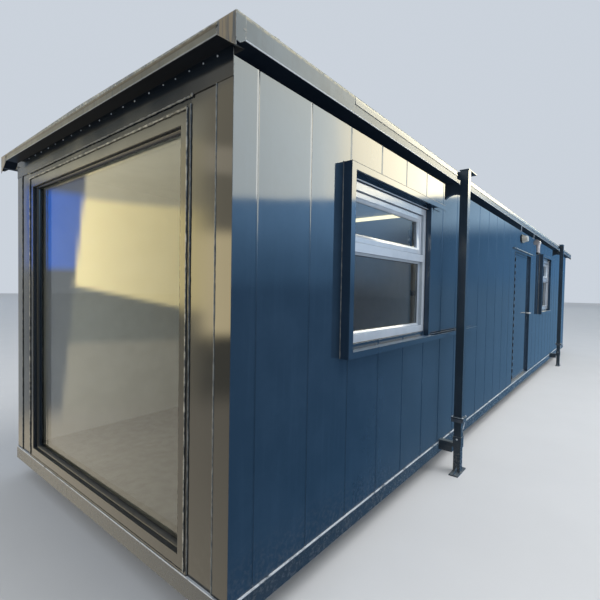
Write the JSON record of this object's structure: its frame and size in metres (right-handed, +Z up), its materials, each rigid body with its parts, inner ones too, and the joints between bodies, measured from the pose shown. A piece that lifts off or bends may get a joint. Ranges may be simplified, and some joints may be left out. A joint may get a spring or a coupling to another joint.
{
  "type": "portable site cabin",
  "caption": "Long flat-roofed steel site cabin on telescoping corner legs, with a picture window in one end, a side door and framed side windows.",
  "frame": {"origin": "on the ground under the middle of the cabin", "axes": "+X along the length away from the end with the picture window, -Y towards the front with the door and windows, +Z up"},
  "size_m": [12.371, 3.205, 2.751],
  "materials": {
    "bright_steel": "brushed steel",
    "clear_glass": "clear sealed double glazing",
    "floor": "board with a worn vinyl floor covering",
    "frame_paint": "gloss dark blue grey paint on heavier steel",
    "grey_plastic": "matte grey plastic",
    "lamp_cover": "opal plastic cover on a dark base",
    "roof_paint": "weathered grey paint on steel sheet",
    "shell_paint": "gloss dark blue grey paint on steel",
    "timber": "plain dark timber",
    "wall_lining": "insulated panel lined in satin cream board",
    "white_frame": "satin white plastic"
  },
  "bodies": {
    "cabin": {"back_cladding": "shell_paint", "back_wall": "wall_lining", "base_frame": "frame_paint", "bulkhead_light": "lamp_cover", "door_flashing": "shell_paint", "door_frame": "shell_paint", "door_hinges": "frame_paint", "eaves_soffits": "shell_paint", "far_corner_posts": "shell_paint", "far_end_cladding": "shell_paint", "far_end_wall": "wall_lining", "fascia_back": "shell_paint", "fascia_far_end": "shell_paint", "fascia_front": "shell_paint", "fascia_near_end": "shell_paint", "floor_bearers": "timber", "floor_deck": "floor", "floor_joists": "timber", "front_cladding_far": "shell_paint", "front_cladding_near": "shell_paint", "front_cladding_over_door": "shell_paint", "front_wall_far": "wall_lining", "front_wall_near": "wall_lining", "front_wall_over_door": "wall_lining", "leg_lower_brackets": "frame_paint", "leg_tubes": "frame_paint", "leg_upper_brackets": "frame_paint", "near_corner_posts": "shell_paint", "near_end_header": "shell_paint", "near_jamb_panels": "shell_paint", "picture_window_frame": "shell_paint", "picture_window_glass": "clear_glass", "power_inlet": "grey_plastic", "roof_corner_caps": "shell_paint", "roof_panel": "wall_lining", "roof_sheet": "roof_paint", "window_1_frame": "white_frame", "window_1_shroud": "shell_paint", "window_2_frame": "white_frame", "window_2_shroud": "shell_paint", "window_panes": "clear_glass"},
    "door": {"door_leaf": "shell_paint", "door_handle": "bright_steel"},
    "front_near_leg": {"inner_leg_front_near": "frame_paint"},
    "front_far_leg": {"inner_leg_front_far": "frame_paint"},
    "back_near_leg": {"inner_leg_back_near": "frame_paint"},
    "back_far_leg": {"inner_leg_back_far": "frame_paint"}
  },
  "joints": [
    {"name": "door_hinge", "type": "hinge", "parent": "cabin", "child": "door", "pos_m": [-0.413, -1.3495, 1.25], "axis": [0, 0, -1], "range_deg": [0, 90]},
    {"name": "front_near_leg_slide", "type": "slide", "parent": "cabin", "child": "front_near_leg", "axis": [0, 0, 1], "range_m": [-0.5, 0]},
    {"name": "front_far_leg_slide", "type": "slide", "parent": "cabin", "child": "front_far_leg", "axis": [0, 0, 1], "range_m": [-0.5, 0]},
    {"name": "back_near_leg_slide", "type": "slide", "parent": "cabin", "child": "back_near_leg", "axis": [0, 0, 1], "range_m": [-0.5, 0]},
    {"name": "back_far_leg_slide", "type": "slide", "parent": "cabin", "child": "back_far_leg", "axis": [0, 0, 1], "range_m": [-0.5, 0]}
  ]
}
